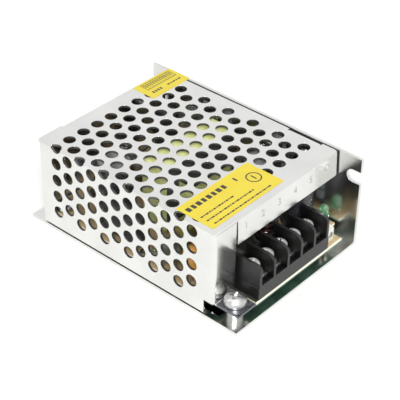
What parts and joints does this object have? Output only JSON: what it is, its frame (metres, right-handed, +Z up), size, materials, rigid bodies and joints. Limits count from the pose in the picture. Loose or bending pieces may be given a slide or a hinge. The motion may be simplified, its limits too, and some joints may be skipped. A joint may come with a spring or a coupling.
{
  "type": "mesh case switching power supply",
  "caption": "Small mains power supply in a perforated folded-sheet case with a screw terminal block at its open front end.",
  "frame": {"origin": "middle of the base plate's underside", "axes": "+X towards the plain chassis wall, +Y from the terminal end to the rear, +Z up from the base"},
  "size_m": [0.058, 0.085, 0.0321],
  "materials": {
    "galvanised_sheet": "bright zinc-coated steel sheet",
    "cover_sheet": "semi-matt aluminium sheet",
    "plated_screw": "bright nickel plate",
    "plated_standoff": "turned, nickel plated",
    "nylon": "natural nylon",
    "laminate": "tan paper laminate, dark green solder side",
    "clear_film": "milky polyester film",
    "block_moulding": "black moulded plastic",
    "tinned_brass": "tin plated brass",
    "ferrite": "dark sintered ferrite",
    "bobbin_moulding": "black phenolic moulding",
    "yellow_tape": "yellow-green polyester tape",
    "capacitor_sleeve": "dark shrink sleeve over an aluminium can",
    "fuse_body": "brown moulded box",
    "copper_winding": "enamelled copper wire",
    "yellow_box": "yellow moulded box",
    "orange_coating": "orange epoxy dip",
    "green_coating": "dark green dip",
    "blue_coating": "blue epoxy dip",
    "black_epoxy": "black moulding compound",
    "thermal_rubber": "grey silicone pad",
    "resistor_coating": "tan lacquer with colour bands",
    "green_lens": "tinted epoxy lens",
    "tan_wafer": "tan phenolic wafer",
    "white_moulding": "white moulded carrier",
    "rotor_metal": "dark plated metal",
    "yellow_sticker": "yellow paper sticker with plain dark marks"
  },
  "bodies": {
    "case": {"chassis": "galvanised_sheet", "perforated_cover": "cover_sheet", "cover_standoff": "plated_standoff", "cover_foot_screw": "plated_screw", "cover_ear_screw": "plated_screw", "board_standoffs": "plated_standoff", "board_screws": "plated_screw", "board_spacer": "nylon", "circuit_board": "laminate", "insulating_sheet": "clear_film", "terminal_block": "block_moulding", "transformer_core_lower": "ferrite", "transformer_core_upper": "ferrite", "transformer_bobbin": "bobbin_moulding", "transformer_winding": "yellow_tape", "transformer_core_tape": "yellow_tape", "bulk_capacitor": "capacitor_sleeve", "output_capacitor_1": "capacitor_sleeve", "output_capacitor_2": "capacitor_sleeve", "auxiliary_capacitor": "capacitor_sleeve", "fuse": "fuse_body", "filter_choke_core": "ferrite", "filter_choke_windings": "copper_winding", "line_film_capacitor": "yellow_box", "varistor": "orange_coating", "inrush_thermistor": "green_coating", "bridging_disc_capacitor": "blue_coating", "bridge_rectifier": "black_epoxy", "switching_transistor": "black_epoxy", "output_rectifier": "black_epoxy", "thermal_pads": "thermal_rubber", "package_screws": "plated_screw", "output_inductor_core": "ferrite", "output_inductor_winding": "copper_winding", "controller_chip": "black_epoxy", "optocoupler": "black_epoxy", "resistors": "resistor_coating", "diodes": "black_epoxy", "indicator_lamp": "green_lens", "trimmer_wafer": "tan_wafer", "trimmer_housing": "white_moulding", "main_label": "yellow_sticker", "rear_sticker": "yellow_sticker", "contact_plate_1": "tinned_brass", "contact_plate_2": "tinned_brass", "contact_plate_3": "tinned_brass", "contact_plate_4": "tinned_brass", "contact_plate_5": "tinned_brass"},
    "clamp_1": {"clamp_washer_1": "plated_screw"},
    "screw_1": {"terminal_screw_1": "plated_screw"},
    "clamp_2": {"clamp_washer_2": "plated_screw"},
    "screw_2": {"terminal_screw_2": "plated_screw"},
    "clamp_3": {"clamp_washer_3": "plated_screw"},
    "screw_3": {"terminal_screw_3": "plated_screw"},
    "clamp_4": {"clamp_washer_4": "plated_screw"},
    "screw_4": {"terminal_screw_4": "plated_screw"},
    "clamp_5": {"clamp_washer_5": "plated_screw"},
    "screw_5": {"terminal_screw_5": "plated_screw"},
    "trimmer_adjuster": {"trimmer_rotor": "rotor_metal"}
  },
  "joints": [
    {"name": "clamp_lift_1", "type": "slide", "parent": "case", "child": "clamp_1", "axis": [0, 0, 1], "range_m": [0, 0.002]},
    {"name": "terminal_screw_turn_1", "type": "hinge", "parent": "clamp_1", "child": "screw_1", "pos_m": [-0.01432, -0.0356, 0.0123], "axis": [0, 0, 1], "range_deg": [0, 1441]},
    {"name": "clamp_lift_2", "type": "slide", "parent": "case", "child": "clamp_2", "axis": [0, 0, 1], "range_m": [0, 0.002]},
    {"name": "terminal_screw_turn_2", "type": "hinge", "parent": "clamp_2", "child": "screw_2", "pos_m": [-0.00797, -0.0356, 0.0123], "axis": [0, 0, 1], "range_deg": [0, 1441]},
    {"name": "clamp_lift_3", "type": "slide", "parent": "case", "child": "clamp_3", "axis": [0, 0, 1], "range_m": [0, 0.002]},
    {"name": "terminal_screw_turn_3", "type": "hinge", "parent": "clamp_3", "child": "screw_3", "pos_m": [-0.00162, -0.0356, 0.0123], "axis": [0, 0, 1], "range_deg": [0, 1441]},
    {"name": "clamp_lift_4", "type": "slide", "parent": "case", "child": "clamp_4", "axis": [0, 0, 1], "range_m": [0, 0.002]},
    {"name": "terminal_screw_turn_4", "type": "hinge", "parent": "clamp_4", "child": "screw_4", "pos_m": [0.00473, -0.0356, 0.0123], "axis": [0, 0, 1], "range_deg": [0, 1441]},
    {"name": "clamp_lift_5", "type": "slide", "parent": "case", "child": "clamp_5", "axis": [0, 0, 1], "range_m": [0, 0.002]},
    {"name": "terminal_screw_turn_5", "type": "hinge", "parent": "clamp_5", "child": "screw_5", "pos_m": [0.01107, -0.0356, 0.0123], "axis": [0, 0, 1], "range_deg": [0, 1441]},
    {"name": "trimmer_turn", "type": "hinge", "parent": "case", "child": "trimmer_adjuster", "pos_m": [0.0185, -0.04025, 0.0082], "axis": [0, -1, 0], "range_deg": [-135, 135]}
  ],
  "couplings": [
    {"joint": "terminal_screw_turn_1", "follows": "clamp_lift_1", "rad_per_m": 12566},
    {"joint": "terminal_screw_turn_2", "follows": "clamp_lift_2", "rad_per_m": 12566},
    {"joint": "terminal_screw_turn_3", "follows": "clamp_lift_3", "rad_per_m": 12566},
    {"joint": "terminal_screw_turn_4", "follows": "clamp_lift_4", "rad_per_m": 12566},
    {"joint": "terminal_screw_turn_5", "follows": "clamp_lift_5", "rad_per_m": 12566}
  ]
}
